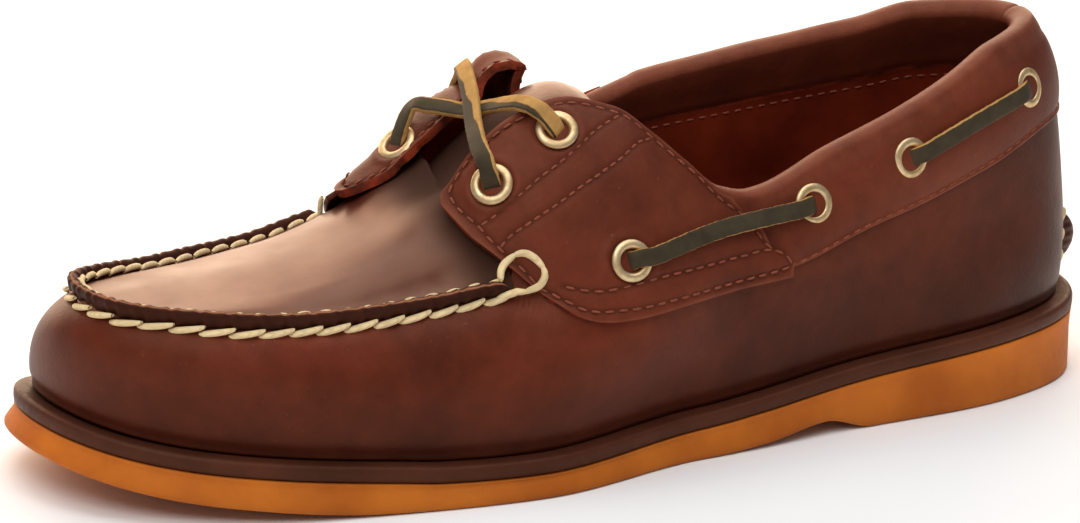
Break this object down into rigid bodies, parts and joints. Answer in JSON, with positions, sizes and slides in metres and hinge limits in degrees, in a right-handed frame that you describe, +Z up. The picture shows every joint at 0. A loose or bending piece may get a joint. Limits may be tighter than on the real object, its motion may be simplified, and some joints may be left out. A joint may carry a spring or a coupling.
{
  "type": "boat shoe",
  "caption": "Left boat shoe in oiled brown leather with a raised moccasin seam, side laces through brass eyelets and a gum rubber sole.",
  "frame": {"origin": "on the floor under the middle of the shoe's bounding box", "axes": "+X from heel to toe, +Y towards the outer (lateral) side of the left foot, +Z up from the floor the sole stands on"},
  "size_m": [0.3094, 0.1063, 0.097],
  "materials": {
    "gum_rubber": "matte honey gum",
    "brown_midsole": "matte",
    "insole_leather": "smooth lining",
    "vamp_leather": "waxed, soft sheen",
    "tongue_leather": "smooth",
    "saddle_leather": "waxed, soft sheen",
    "lip_leather": "cut edge",
    "brass": "antique, dull",
    "rawhide": "waxed rawhide"
  },
  "bodies": {
    "root": {"outsole": "gum_rubber", "midsole": "brown_midsole", "insole": "insole_leather", "upper": "vamp_leather", "tongue": "tongue_leather", "saddle_lateral": "saddle_leather", "saddle_medial": "saddle_leather", "moc_seam_bead": "lip_leather", "heel_seam_fin": "lip_leather", "eyelet_lateral_front_upper": "brass", "eyelet_lateral_front_lower": "brass", "eyelet_lateral_side_1": "brass", "eyelet_lateral_side_2": "brass", "eyelet_lateral_side_3": "brass", "eyelet_lateral_side_4": "brass", "eyelet_medial_front_upper": "brass", "eyelet_medial_front_lower": "brass", "eyelet_medial_side_1": "brass", "eyelet_medial_side_2": "brass", "eyelet_medial_side_3": "brass", "eyelet_medial_side_4": "brass", "lace_side_lateral_front": "rawhide", "lace_side_lateral_rear": "rawhide", "lace_side_medial_front": "rawhide", "lace_side_medial_rear": "rawhide", "lace_crossing": "rawhide"}
  },
  "joints": []
}
